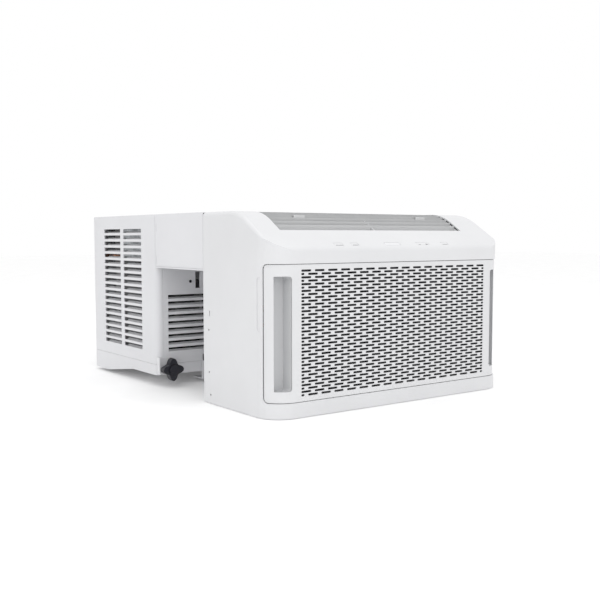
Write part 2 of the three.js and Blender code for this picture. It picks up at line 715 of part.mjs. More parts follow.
function bridgeTray() {
  const y = SILL_HALF_GAP - GAP;
  const plate = block(-HALF_WIDTH, HALF_WIDTH, -y, y, 0, 3);
  // A low lip along either side locates the cover's skirt.
  const lips = [-1, 1].map((side) => {
    const x = side * (HALF_WIDTH - SHEET - GAP - 1.5);
    return block(x - 1.5, x + 1.5, -y, y, 1, 5);
  });
  return join(plate, ...lips);
}

const suctionRoute = [
  [-95, 215, -22], [-95, 215, 62], [-95, -110, 62], [-256, -110, 62], [-256, -110, -60], [-256, -262, -60],
  [-235, -262, -60],
];
const liquidRoute = [
  [-250, 380, 20], [-266, 380, 20], [-266, 312, 20], [-100, 312, 20], [-100, 312, 82], [-100, -110, 82],
  [-243, -110, 82], [-243, -135, 82], [-243, -135, -90], [-243, -262, -90], [-235, -262, -90],
];

bridge.add(
  piece('bridge_cover', bridgeCover(), WHITE_SHEET),
  piece('bridge_tray', bridgeTray(), WHITE_SHEET),
  piece('suction_line', pipe(suctionRoute, 12, 6, 46), COPPER),
  piece('liquid_line', pipe(liquidRoute, 7, 3.5, 64), COPPER),
);

// ---------------------------------------------------------------- outdoor section: casing
const outdoorPlan = (inset) => rectangle(
  -HALF_WIDTH + inset, HALF_WIDTH - inset, OUTDOOR_FRONT_Y + inset, OUTDOOR_REAR_Y - inset,
  OUTDOOR_CORNER_R - inset);

// Louvre columns as [low, high] along each wall.
const SIDE_COLUMNS = [[159.2, 245.8], [260.5, 344.6]];
const FRONT_COLUMNS = [[-253, -132], [-122, -6], [6, 122], [132, 253]];

const REAR_WINDOW = { halfWidth: 250, bottomZ: -182, topZ: DOORWAY_Z[1] };

// Top and both sides in one wrap, with a narrow flange round the front and rear openings.
function outdoorCabinet() {
  const wrap = prism('Z', outdoorPlan(0), CABINET_BOTTOM_Z, TOP_Z);
  const half = BRIDGE_INNER_HALF_WIDTH;
  const [y0, y1] = [OUTDOOR_FRONT_Y - 5, OUTDOOR_FRONT_Y + 5];
  let body = cut(
    wrap,
    prism('Z', outdoorPlan(SHEET), CABINET_BOTTOM_Z - 5, TOP_Z - SHEET),
    block(-half, half, y0, y1, CABINET_BOTTOM_Z - 5, DOORWAY_Z[1]),
    block(
      -REAR_WINDOW.halfWidth, REAR_WINDOW.halfWidth, OUTDOOR_REAR_Y - 8, OUTDOOR_REAR_Y + 5,
      REAR_WINDOW.bottomZ, REAR_WINDOW.topZ),
  );
  const reach = HALF_WIDTH + 5;
  for (let row = 0; row < SIDE_LOUVRE_ROWS; row++) {
    for (const [start, end] of SIDE_COLUMNS) {
      body = body.subtract(block(-reach, reach, start, end, ...louvreSpan(row)));
    }
  }
  return body;
}

// Lower and upper edge of a louvre row, counted from the top.
function louvreSpan(row) {
  const z = LOUVRE_TOP_Z - row * LOUVRE_PITCH;
  return [z - LOUVRE_HEIGHT / 2, z + LOUVRE_HEIGHT / 2];
}

// Flat wall between the cabinet's front flanges, below the doorway.
function outdoorFrontWall() {
  const half = BRIDGE_INNER_HALF_WIDTH - GAP;
  const through = [OUTDOOR_FRONT_Y - 5, OUTDOOR_FRONT_Y + 5];
  let body = block(-half, half, OUTDOOR_FRONT_Y, OUTDOOR_FRONT_Y + SHEET, CABINET_BOTTOM_Z, DOORWAY_Z[0]);
  for (let row = SIDE_LOUVRE_ROWS - FRONT_LOUVRE_ROWS; row < SIDE_LOUVRE_ROWS; row++) {
    for (const [start, end] of FRONT_COLUMNS) {
      body = body.subtract(block(start, end, ...through, ...louvreSpan(row)));
    }
  }
  // Upright slots and screw holes for the window brackets, either side.
  for (const side of [-1, 1]) {
    const x = side * 185;
    body = cut(
      body,
      block(x - 5, x + 5, ...through, -43.5, -9.6),
      rod('Y', [side * 201.7, -29.4], SCREW_HOLE_R, ...through, 8),
    );
  }
  return body;
}

// Bottom of the base pan seen from the side: level at the front, lower at the rear.
function panProfile(inset) {
  return outline([
    [OUTDOOR_FRONT_Y - 20, PAN_FRONT_Z + inset],
    [PAN_FALL_Y[0], PAN_FRONT_Z + inset],
    [PAN_FALL_Y[1], PAN_REAR_Z + inset],
    [OUTDOOR_REAR_Y - inset, PAN_REAR_Z + inset, 14],
    [OUTDOOR_REAR_Y - inset, 0],
    [OUTDOOR_FRONT_Y - 20, 0],
  ], 4);
}

function basePan() {
  const wall = 2;
  const rim = CABINET_BOTTOM_Z - GAP;
  const outer = prism('Z', outdoorPlan(0), PAN_REAR_Z - 5, rim);
  const inner = prism('Z', outdoorPlan(wall), PAN_REAR_Z - 5, rim + 5);
  const skin = outer.intersect(prism('X', panProfile(0), -HALF_WIDTH - 5, HALF_WIDTH + 5));
  const hollow = inner.intersect(prism('X', panProfile(wall), -HALF_WIDTH, HALF_WIDTH));
  let body = skin.subtract(hollow);
  for (const side of [-1, 1]) {
    body = body.subtract(rod('Y', [side * KNOB_X, KNOB_Z], 5, OUTDOOR_FRONT_Y - 5, OUTDOOR_FRONT_Y + 5, 10));
  }
  return body;
}

function rearGrille() {
  const bar = 6;
  const margin = GAP + 0.1;
  const x = REAR_WINDOW.halfWidth - margin;
  const [z0, z1] = [REAR_WINDOW.bottomZ + margin, REAR_WINDOW.topZ - margin];
  const [y0, y1] = [OUTDOOR_REAR_Y - 5, OUTDOOR_REAR_Y - 0.5];
  const field = [-x + bar, x - bar, z0 + bar, z1 - bar];
  return lattice(block(-x, x, y0, y1, z0, z1), field, 4, 6, bar, y0 - 5, y1 + 5);
}

outdoorSection.add(
  piece('outdoor_cabinet', outdoorCabinet(), WHITE_SHEET),
  piece('outdoor_front_wall', outdoorFrontWall(), WHITE_SHEET),
  piece('base_pan', basePan(), WHITE_SHEET),
  piece('rear_grille', rearGrille(), WHITE_SHEET),
);

// ---------------------------------------------------------------- outdoor section: refrigeration
function condenser() {
  return join(
    coilBlock([-246, 246], [364, 396], [-196, 86]),
    ...returnBends(249, 380, -185, 38, 28, 7),
  );
}

// Lathe profile of a domed can of the given radius, from z0 to z1.
function can(radius, z0, z1, dome) {
  const profile = [[0, z0], [radius * 0.7, z0], [radius, z0 + dome], [radius, z1 - dome]];
  profile.push([radius * 0.8, z1 - dome * 0.35], [0, z1]);
  const points = profile.map(([r, z]) => new THREE.Vector2(r, z));
  return solid(new THREE.LatheGeometry(points, 18).rotateX(Math.PI / 2));
}

function compressor() {
  const shell = can(58, -180, -22, 26);
  const foot = rod('Z', [0, 0], 76, COMPRESSOR_FOOT_Z, COMPRESSOR_FOOT_Z + 5, 12);
  const stem = rod('Z', [0, 0], 30, -184, -170, 12);
  return join(shell, foot, stem, block(-12, 12, 50, 68, -90, -60));
}

function accumulator() {
  const strap = block(-20, 2, -4, 4, -110, -100);
  return join(can(24, -150, -24, 16), strap.translate([-2, 0, 0]));
}

outdoorSection.add(
  piece('condenser_coil', condenser(), ALUMINIUM),
  placed(piece('compressor', compressor(), BLACK_PAINT), COMPRESSOR_X, COMPRESSOR_Y, 0),
  placed(piece('accumulator', accumulator(), BLACK_PAINT), -84, COMPRESSOR_Y, 0),
);
// Height of the base pan's underside at y: level, then falling, then level again.
function panFloor(y) {
  const fall = THREE.MathUtils.clamp((y - PAN_FALL_Y[0]) / (PAN_FALL_Y[1] - PAN_FALL_Y[0]), 0, 1);
  return THREE.MathUtils.lerp(PAN_FRONT_Z, PAN_REAR_Z, fall);
}

for (let k = 0; k < 3; k++) {
  const a = THREE.MathUtils.degToRad(90 + 120 * k);
  const x = COMPRESSOR_X + MOUNT_CIRCLE_R * Math.cos(a);
  const y = COMPRESSOR_Y + MOUNT_CIRCLE_R * Math.sin(a);
  const mount = rod('Z', [0, 0], 11, panFloor(y) + 4, COMPRESSOR_FOOT_Z - GAP, 10);
  outdoorSection.add(placed(piece(`compressor_mount_${k + 1}`, mount, RUBBER), x, y, 0));
}

// ---------------------------------------------------------------- outdoor section: fan
function fanBlades() {
  let body = rod('Y', [0, 0], 28, -16, 16, 18);
  for (let k = 0; k < 5; k++) {
    const blade = outline([[-18, 24], [22, 24], [44, FAN_R - 12, 10], [-30, FAN_R - 4, 14]], 4);
    const vane = prism('Y', blade, -1.2, 1.2).rotate([0, 0, 24]).rotate([0, 72 * k, 0]);
    body = body.add(vane);
  }
  const rim = rod('Y', [0, 0], FAN_R, -3, 3, 24).subtract(rod('Y', [0, 0], FAN_R - 8, -5, 5, 24));
  return body.add(rim).subtract(rod('Y', [0, 0], 4.5, -20, 6, 10));
}

function fanMotor() {
  const canBody = rod('Y', [0, 0], 40, -62, 0, 20);
  return join(canBody, rod('Y', [0, 0], 4, -2, 30, 10), rod('Y', [0, 0], 14, -68, -60, 12));
}

function motorBracket() {
  const base = block(-46, 46, -50, -10, -8, 8);
  const collar = rod('Y', [0, 0], 46, -44, -20, 20).subtract(rod('Y', [0, 0], 40.5, -50, -10, 20));
  const column = block(-16, 16, -44, -20, -150, -43);
  const foot = block(-50, 50, -50, -10, -154, -150);
  return join(collar, column, foot, base.intersect(collar));
}

function fanShroud() {
  const plateY = 350;
  const plate = block(-250, 262, plateY, plateY + 3, -198, 90);
  const ring = rod('Y', [FAN_X, FAN_Z], FAN_R + 9, plateY - 32, plateY + 2, 24);
  const throat = rod('Y', [FAN_X, FAN_Z], FAN_R + 6, plateY - 40, plateY + 20, 24);
  return join(plate, ring).subtract(throat);
}

outdoorSection.add(
  placed(piece('outdoor_fan', fanBlades(), DARK), FAN_X, FAN_Y, FAN_Z),
  placed(piece('fan_motor', fanMotor(), STEEL), FAN_X, FAN_MOTOR_Y, FAN_Z),
  placed(piece('motor_bracket', motorBracket(), STEEL), FAN_X, FAN_MOTOR_Y, FAN_Z),
  piece('fan_shroud', fanShroud(), GREY),
  piece('inverter_box', block(-262, -122, 112, 300, 14, 84), STEEL),
);

// ---------------------------------------------------------------- outdoor section: levelling
function levelBracket(side) {
  const rear = OUTDOOR_FRONT_Y - GAP;
  const shelf = KNOB_Y[1] + 1.5;
  const [outer, inner, bottom, top] = [-24, 20, -8, 24];
  const body = join(
    block(outer, inner, rear - 2, rear, bottom, top),
    block(outer, inner, shelf, rear, bottom - 1, bottom + 2),
    block(outer, outer + 2.5, shelf, rear, bottom - 1, top),
  ).subtract(rod('Y', [0, 0], 5, shelf - 5, rear + 5, 10));
  return side < 0 ? body : body.mirror([1, 0, 0]);
}

// Four-lobed knob moulded on its threaded stud.
function levelKnob() {
  const shape = [];
  const steps = 32;
  for (let k = 0; k < steps; k++) {
    const a = (2 * Math.PI * k) / steps;
    const r = 18.5 + 4.5 * Math.cos(4 * a);
    shape.push(new THREE.Vector2(r * Math.sin(a), r * Math.cos(a)));
  }
  const [front, rear] = KNOB_Y;
  const knob = prism('Y', new THREE.Shape(shape), front, rear);
  return join(knob, rod('Y', [0, 0], 9, rear - 2, rear + 1, 12), rod('Y', [0, 0], 4, rear, rear + 45, 10));
}

function wearPad() {
  return rod('Y', [0, 0], 10, KNOB_Y[0] - 3.5, KNOB_Y[0] - GAP, 16);
}

function standLeg(side) {
  const y1 = OUTDOOR_FRONT_Y - GAP;
  const strap = block(-20, 20, y1 - 3, y1, PAN_REAR_Z, -180);
  const foot = block(-20, 20, y1 - 3, y1 + 34, PAN_REAR_Z, PAN_REAR_Z + 3);
  const body = join(strap, foot);
  return side < 0 ? body : body.mirror([1, 0, 0]);
}

for (const [name, side] of [['left', -1], ['right', 1]]) {
  outdoorSection.add(
    placed(piece(`level_bracket_${name}`, levelBracket(side), WHITE_SHEET), side * KNOB_X, 0, KNOB_Z),
    placed(piece(`level_knob_${name}`, levelKnob(), DARK), side * KNOB_X, 0, KNOB_Z),
    placed(piece(`wear_pad_${name}`, wearPad(), DARK), side * KNOB_X, 0, KNOB_Z),
    placed(piece(`stand_leg_${name}`, standLeg(side), WHITE_SHEET), side * LEG_X, 0, 0),
  );
}

export default group;
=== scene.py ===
"""Looks of the window air conditioner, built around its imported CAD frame.

Metres, in the CAD frame: +X to the viewer's right, -Y towards the room, +Z up,
with the origin in the middle of the bridge's underside.
"""

import json
import math

import bmesh
import bpy
from mathutils import Euler, Matrix, Vector
from mathutils.geometry import tessellate_polygon


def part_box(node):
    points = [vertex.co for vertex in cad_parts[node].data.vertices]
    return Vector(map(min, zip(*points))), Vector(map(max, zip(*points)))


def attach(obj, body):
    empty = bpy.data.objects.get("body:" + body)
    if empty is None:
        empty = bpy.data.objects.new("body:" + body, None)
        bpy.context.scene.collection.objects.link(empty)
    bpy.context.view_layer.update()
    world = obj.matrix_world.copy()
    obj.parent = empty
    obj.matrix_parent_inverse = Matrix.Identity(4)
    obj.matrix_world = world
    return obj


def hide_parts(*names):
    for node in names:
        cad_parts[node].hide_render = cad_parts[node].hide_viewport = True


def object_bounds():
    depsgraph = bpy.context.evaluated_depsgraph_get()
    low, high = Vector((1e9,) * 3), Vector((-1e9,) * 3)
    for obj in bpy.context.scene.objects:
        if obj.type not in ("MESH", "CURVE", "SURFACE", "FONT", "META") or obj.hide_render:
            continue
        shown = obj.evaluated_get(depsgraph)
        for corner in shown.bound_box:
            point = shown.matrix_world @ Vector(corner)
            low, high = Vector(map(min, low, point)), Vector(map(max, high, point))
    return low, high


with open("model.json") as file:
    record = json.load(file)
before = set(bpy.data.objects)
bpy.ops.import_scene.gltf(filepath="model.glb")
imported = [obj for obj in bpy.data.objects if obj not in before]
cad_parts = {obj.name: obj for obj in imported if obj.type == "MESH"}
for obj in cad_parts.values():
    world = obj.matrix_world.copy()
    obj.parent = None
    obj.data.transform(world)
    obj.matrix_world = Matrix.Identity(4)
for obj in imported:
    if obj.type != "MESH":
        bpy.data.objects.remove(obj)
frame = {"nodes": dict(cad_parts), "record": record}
cad_low, cad_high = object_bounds()
nodes = frame["nodes"]

MM = 0.001
ROOT = "cabinet"
SIDES = (("left", -1), ("right", 1))
ALONG_X = Euler((0, math.pi / 2, 0)).to_matrix().to_4x4()  # lays a Z-axis solid along X


# ---------------------------------------------------------------- finishes
NOISE_SPAN = (0.3, 0.7)  # where nearly all of a noise texture's values lie
BUMP_STRENGTH = 0.6
GLOSS_BELOW, GLOSS_ABOVE = 0.04, 0.05  # how far roughness strays from its value
GLOSS_FINENESS = 6  # gloss patches per mottling patch
WAVE_RATE = 20.0  # phase that a wave texture turns per metre at scale 1


def noise(tree, coords, scale, detail=3.0):
    """A noise texture on the piece's own coordinates."""
    texture = tree.nodes.new("ShaderNodeTexNoise")
    texture.inputs["Scale"].default_value = scale
    texture.inputs["Detail"].default_value = detail
    tree.links.new(coords.outputs["Object"], texture.inputs["Vector"])
    return texture.outputs["Fac"]


def ranged(tree, value, low, high):
    """A noise value stretched from its usual span to low to high."""
    node = tree.nodes.new("ShaderNodeMapRange")
    node.inputs["From Min"].default_value = NOISE_SPAN[0]
    node.inputs["From Max"].default_value = NOISE_SPAN[1]
    node.inputs["To Min"].default_value = low
    node.inputs["To Max"].default_value = high
    tree.links.new(value, node.inputs["Value"])
    return node.outputs["Result"]


def blended(tree, fac, first, second):
    """Colour between two others, by fac."""
    node = tree.nodes.new("ShaderNodeMix")
    node.data_type = "RGBA"
    tree.links.new(fac, node.inputs["Factor"])
    node.inputs["A"].default_value = (*first, 1.0)
    node.inputs["B"].default_value = (*second, 1.0)
    return node.outputs["Result"]


def bumped(tree, shader, height, distance):
    """Surface relief of the given height in metres."""
    node = tree.nodes.new("ShaderNodeBump")
    node.inputs["Strength"].default_value = BUMP_STRENGTH
    node.inputs["Distance"].default_value = distance
    tree.links.new(height, node.inputs["Height"])
    tree.links.new(node.outputs["Normal"], shader.inputs["Normal"])


def finish(name, color, roughness, grain, relief, metallic=0.0, mottle=0.02, patch=9.0,
           coat=0.0):
    """A procedural finish: faint mottling, uneven gloss and a fine surface grain.

    Grain and patch are noise scales, relief is in metres, mottle is a share of the colour.
    """
    made = bpy.data.materials.new(name)
    made.use_nodes = True
    tree = made.node_tree
    shader = tree.nodes["Principled BSDF"]
    shader.inputs["Metallic"].default_value = metallic
    shader.inputs["Coat Weight"].default_value = coat
    coords = tree.nodes.new("ShaderNodeTexCoord")
    patches = ranged(tree, noise(tree, coords, patch), 0.0, 1.0)
    darker = [c * (1.0 - mottle) for c in color]
    lighter = [min(1.0, c * (1.0 + mottle)) for c in color]
    tree.links.new(blended(tree, patches, darker, lighter), shader.inputs["Base Color"])
    finer = noise(tree, coords, patch * GLOSS_FINENESS)
    gloss = ranged(tree, finer, roughness - GLOSS_BELOW, roughness + GLOSS_ABOVE)
    tree.links.new(gloss, shader.inputs["Roughness"])
    bumped(tree, shader, noise(tree, coords, grain, 2.0), relief)
    return made


def voronoi_finish(name, color, roughness, cell, metallic, mottle):
    """Galvanised spangle: flat crystals of slightly different brightness."""
    made = finish(name, color, roughness, grain=500.0, relief=0.00001, metallic=metallic)
    tree = made.node_tree
    shader = tree.nodes["Principled BSDF"]
    coords = next(n for n in tree.nodes if n.type == "TEX_COORD")
    cells = tree.nodes.new("ShaderNodeTexVoronoi")
    cells.inputs["Scale"].default_value = cell
    tree.links.new(coords.outputs["Object"], cells.inputs["Vector"])
    grey = tree.nodes.new("ShaderNodeSeparateColor")
    tree.links.new(cells.outputs["Color"], grey.inputs["Color"])
    darker = [c * (1.0 - mottle) for c in color]
    mixed = blended(tree, grey.outputs["Red"], darker, color)
    tree.links.new(mixed, shader.inputs["Base Color"])
    return made


def woven_finish(name, dark, light, phase_per_metre):
    """A woven mesh: crossed waves, with a painted highlight on the thread tops and painted shade
    in the holes.
    """
    made = bpy.data.materials.new(name)
    made.use_nodes = True
    tree = made.node_tree
    shader = tree.nodes["Principled BSDF"]
    shader.inputs["Roughness"].default_value = 0.75
    coords = tree.nodes.new("ShaderNodeTexCoord")
    highest = None
    for direction in ("X", "Z"):
        wave = tree.nodes.new("ShaderNodeTexWave")
        wave.bands_direction = direction
        wave.inputs["Scale"].default_value = phase_per_metre / WAVE_RATE
        wave.inputs["Distortion"].default_value = 0.2
        tree.links.new(coords.outputs["Object"], wave.inputs["Vector"])
        if highest is None:
            highest = wave.outputs["Fac"]
            continue
        top = tree.nodes.new("ShaderNodeMath")
        top.operation = "MAXIMUM"
        tree.links.new(highest, top.inputs[0])
        tree.links.new(wave.outputs["Fac"], top.inputs[1])
        highest = top.outputs["Value"]
    # Painted light: the colour runs from painted shade in the holes to a painted highlight on the
    # thread tops.
    tree.links.new(blended(tree, highest, dark, light), shader.inputs["Base Color"])
    bumped(tree, shader, highest, 0.2 * MM)
    return made


FINISHES = {
    "white_plastic": finish(
        "white_plastic", (0.65, 0.653, 0.665), 0.36, 1400.0, 0.00002, coat=0.05),
    "white_sheet": finish("white_sheet", (0.66, 0.662, 0.68), 0.40, 420.0, 0.00004),
    "grey_plastic": finish("grey_plastic", (0.54, 0.545, 0.555), 0.48, 1200.0, 0.00003),
    "vent_plastic": finish("vent_plastic", (0.62, 0.625, 0.63), 0.45, 1200.0, 0.00003),
    "black_plastic": finish(
        "black_plastic", (0.012, 0.012, 0.018), 0.42, 900.0, 0.00005, mottle=0.2),
    "display_gloss": finish(
        "display_gloss", (0.68, 0.685, 0.70), 0.12, 300.0, 0.000004, coat=0.4),
    # The filter's darker colour is painted shade in the mesh holes, and its lighter one is a
    # painted highlight on the thread tops.
    "filter_plastic": woven_finish(
        "filter_plastic", (0.004, 0.004, 0.005), (0.035, 0.036, 0.04), 700.0),
    "coil_aluminium": finish(
        "coil_aluminium", (0.62, 0.64, 0.66), 0.34, 700.0, 0.00002, 1.0, 0.06),
    "copper_tube": finish("copper_tube", (0.62, 0.30, 0.18), 0.28, 500.0, 0.00002, 1.0, 0.12),
    "galvanised_steel": voronoi_finish(
        "galvanised_steel", (0.52, 0.54, 0.56), 0.36, 160.0, 1.0, 0.25),
    "black_enamel": finish("black_enamel", (0.012, 0.012, 0.014), 0.18, 260.0, 0.00003, coat=0.3),
    "black_rubber": finish(
        "black_rubber", (0.018, 0.018, 0.019), 0.78, 1000.0, 0.00006, mottle=0.2),
    "board_green": finish(
        "board_green", (0.03, 0.14, 0.06), 0.35, 260.0, 0.00004, mottle=0.25, patch=160.0),
}


# ---------------------------------------------------------------- CAD nodes: materials and edges
EDGE_LIMIT = math.radians(32.0)  # a turn sharper than this is a real edge
FLAT_LIMIT = math.radians(0.5)  # a turn gentler than this is no edge at all
WELD_DISTANCE = 0.002 * MM
ROUND_SEGMENTS = 2


def shade_by_angle(limit):
    """Geometry nodes that weld split vertices and shade smooth, except across real edges."""
    group = bpy.data.node_groups.new("shade_by_angle", "GeometryNodeTree")
    group.interface.new_socket("Geometry", in_out="INPUT", socket_type="NodeSocketGeometry")
    group.interface.new_socket("Geometry", in_out="OUTPUT", socket_type="NodeSocketGeometry")
    add = group.nodes.new
    source = add("NodeGroupInput")
    weld = add("GeometryNodeMergeByDistance")
    weld.inputs["Distance"].default_value = WELD_DISTANCE
    smooth = add("GeometryNodeSetShadeSmooth")
    sharp = add("GeometryNodeSetShadeSmooth")
    sharp.domain = "EDGE"
    angle = add("GeometryNodeInputMeshEdgeAngle")
    gentle = add("FunctionNodeCompare")
    gentle.operation = "LESS_THAN"
    gentle.inputs["B"].default_value = limit
    sink = add("NodeGroupOutput")
    link = group.links.new
    link(source.outputs["Geometry"], weld.inputs["Geometry"])
    link(weld.outputs["Geometry"], smooth.inputs["Geometry"])
    link(smooth.outputs["Geometry"], sharp.inputs["Geometry"])
    link(angle.outputs["Unsigned Angle"], gentle.inputs["A"])
    link(gentle.outputs["Result"], sharp.inputs["Shade Smooth"])
    link(sharp.outputs["Geometry"], sink.inputs["Geometry"])
    return group


BY_ANGLE = shade_by_angle(EDGE_LIMIT)


def add_shading(piece):
    modifier = piece.modifiers.new("shading", "NODES")
    modifier.node_group = BY_ANGLE


def soften(piece, width):
    """Small rounds along the piece's sharp edges."""
    add_shading(piece)
    flat = piece.modifiers.new("merge_flats", "DECIMATE")
    flat.decimate_type = "DISSOLVE"
    flat.angle_limit = FLAT_LIMIT
    bevel = piece.modifiers.new("edge_round", "BEVEL")
    bevel.width = width
    bevel.segments = ROUND_SEGMENTS
    bevel.limit_method = "ANGLE"
    bevel.angle_limit = EDGE_LIMIT
    bevel.miter_outer = "MITER_ARC"
    add_shading(piece)
    weighted = piece.modifiers.new("weighted_normals", "WEIGHTED_NORMAL")
    weighted.keep_sharp = True


# Width of the rounded edges on each piece that has them; the other nodes are only shaded.
EDGE_ROUNDS = {
    "front_frame": 0.6 * MM,
    "rear_case": 0.6 * MM,
    "bridge_cover": 0.5 * MM,
    "bridge_tray": 0.4 * MM,
    "base_pan": 0.6 * MM,
    "grip_pocket_left": 0.4 * MM,
    "grip_pocket_right": 0.4 * MM,
    "level_knob_left": 1.2 * MM,
    "level_knob_right": 1.2 * MM,
    "level_bracket_left": 0.4 * MM,
    "level_bracket_right": 0.4 * MM,
    "stand_leg_left": 0.6 * MM,
    "stand_leg_right": 0.6 * MM,
    "cord_gland": 0.5 * MM,
    "temperature_rocker": 0.3 * MM,
    "button_power": 0.3 * MM,
    "button_timer": 0.3 * MM,
    "button_mode": 0.3 * MM,
    "display_window": 0.3 * MM,
}


def finish_cad_nodes():
    for row in frame["record"]["subparts"]:
        node = nodes[row["node"]]
        node.data.materials.clear()
        node.data.materials.append(FINISHES[row["material_slot"]])
        if row["node"] in EDGE_ROUNDS:
            soften(node, EDGE_ROUNDS[row["node"]])
        else:
            add_shading(node)


# ---------------------------------------------------------------- mesh helpers
SHARP_TURN = math.radians(35.0)
CORNER_STEPS = 3
LEAST_RADIUS = 0.01 * MM


def add_piece(bm, name, body, slot, replaces=()):
    """Turns a bmesh into a piece that rides on a body and takes its finish from a slot."""
    mesh = bpy.data.meshes.new(name)
    bmesh.ops.recalc_face_normals(bm, faces=bm.faces)
    bm.to_mesh(mesh)
    bm.free()
    mesh.shade_smooth()
    mesh.set_sharp_from_angle(angle=SHARP_TURN)
    mesh.materials.append(FINISHES[slot])
    piece = bpy.data.objects.new(name, mesh)
    bpy.context.scene.collection.objects.link(piece)
    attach(piece, body)
    if replaces:
        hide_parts(*replaces)
    return piece


def add_block(bm, low, high):
    """A closed box between two corners."""
    centre = (Vector(low) + Vector(high)) / 2
    size = Vector(high) - Vector(low)
    matrix = Matrix.Translation(centre) @ Matrix.Diagonal((*size, 1.0))
    bmesh.ops.create_cube(bm, size=1.0, matrix=matrix)


def add_rod(bm, radius, length, sides, centre):
    """A closed round bar along X."""
    bmesh.ops.create_cone(
        bm, cap_ends=True, segments=sides, radius1=radius, radius2=radius, depth=length,
        matrix=Matrix.Translation(centre) @ ALONG_X)


def rounded(shape, grow):
    """Anticlockwise points of a rectangle (u0, u1, v0, v1, left radius[, right radius])."""
    u0, u1, v0, v1, *radii = shape
    at_left, at_right = (max(radius + grow, LEAST_RADIUS) for radius in (radii[0], radii[-1]))
    left, right, low, high = u0 - grow, u1 + grow, v0 - grow, v1 + grow
    corners = [
        (right - at_right, low + at_right, -90, at_right),
        (right - at_right, high - at_right, 0, at_right),
        (left + at_left, high - at_left, 90, at_left),
        (left + at_left, low + at_left, 180, at_left),
    ]
    points = []
    for u, v, start, radius in corners:
        for k in range(CORNER_STEPS + 1):
            a = math.radians(start + 90 * k / CORNER_STEPS)
            points.append((u + radius * math.cos(a), v + radius * math.sin(a)))
    return points


def join_rings(bm, first, second):
    """A band of faces between two matching rings of vertices."""
    for i in range(len(first)):
        j = (i + 1) % len(first)
        bm.faces.new((first[i], first[j], second[j], second[i]))


def loft(bm, loops):
    """A closed skin through matching loops of points, capped at both ends."""
    rings = [[bm.verts.new(point) for point in loop] for loop in loops]
    for first, second in zip(rings, rings[1:]):
        join_rings(bm, first, second)
    bm.faces.new(rings[0])
    bm.faces.new(rings[-1])


def perforated_sheet(outline, holes, thickness, chamfer):
    """A sheet in (u, v, depth) with its outer edges chamfered; depth 0 is the outer face."""
    bm = bmesh.new()
    levels = []
    for shape, direction in [(outline, -1)] + [(hole, 1) for hole in holes]:
        rings = []
        for grow, depth in ((direction * chamfer, 0.0), (0.0, chamfer), (0.0, thickness)):
            rings.append([bm.verts.new((u, v, depth)) for u, v in rounded(shape, grow)])
        for upper, lower in zip(rings, rings[1:]):
            join_rings(bm, upper, lower)
        levels.append(rings)
    for level in (0, -1):
        loops = [rings[level] for rings in levels]
        points = [point for loop in loops for point in loop]
        for triangle in tessellate_polygon([[point.co for point in loop] for loop in loops]):
            bm.faces.new([points[i] for i in triangle])
    return bm


def merge_into(target, part):
    """Adds one bmesh to another and frees it."""
    mesh = bpy.data.meshes.new("part")
    part.to_mesh(mesh)
    part.free()
    target.from_mesh(mesh)
    bpy.data.meshes.remove(mesh)


def map_points(bm, place):
    """Moves every vertex to where place puts it."""
    for vertex in bm.verts:
        vertex.co = place(*vertex.co)


# ---------------------------------------------------------------- room section: grille panel
SLOT_LENGTH = 20.44 * MM
SLOT_PITCH = 28 * MM
SLOT_HEIGHT = 3.6 * MM
SLOT_END_RADIUS = SLOT_HEIGHT * 0.45
SLOT_ROW_PITCH = 5.622 * MM
SLOT_ROWS = 38
SLOT_TOP_Z = 5.6 * MM
SLOTS_PER_ROW = 16
END_SLOT_LENGTH = SLOT_LENGTH - SLOT_PITCH / 2
PANEL_CORNER_R = 44.5 * MM
PANEL_THICKNESS = 1.5 * MM
PANEL_CHAMFER = 0.35 * MM
PANEL_OUTLINE_R = 7 * MM
POCKET_X = (239 * MM, 266 * MM)
POCKET_Z = (-194.6 * MM, -3.6 * MM)
POCKET_INNER_R, POCKET_OUTER_R = 5 * MM, 1 * MM
BEND_STEPS = 10


def slot_shapes():
    """Staggered rows of slots; every second row starts and ends with a short one."""
    total = (SLOTS_PER_ROW - 1) * SLOT_PITCH + SLOT_LENGTH
    half = SLOT_HEIGHT / 2
    shapes = []
    for row in range(SLOT_ROWS):
        z = SLOT_TOP_Z - row * SLOT_ROW_PITCH
        if row % 2 == 0:
            spans = [(k * SLOT_PITCH, SLOT_LENGTH) for k in range(SLOTS_PER_ROW)]
        else:
            spans = [((k + 0.5) * SLOT_PITCH, SLOT_LENGTH) for k in range(SLOTS_PER_ROW - 1)]
            spans += [(0.0, END_SLOT_LENGTH), (total - END_SLOT_LENGTH, END_SLOT_LENGTH)]
        for start, length in spans:
            u = start - total / 2
            shapes.append((u, u + length, z - half, z + half, SLOT_END_RADIUS))
    return shapes


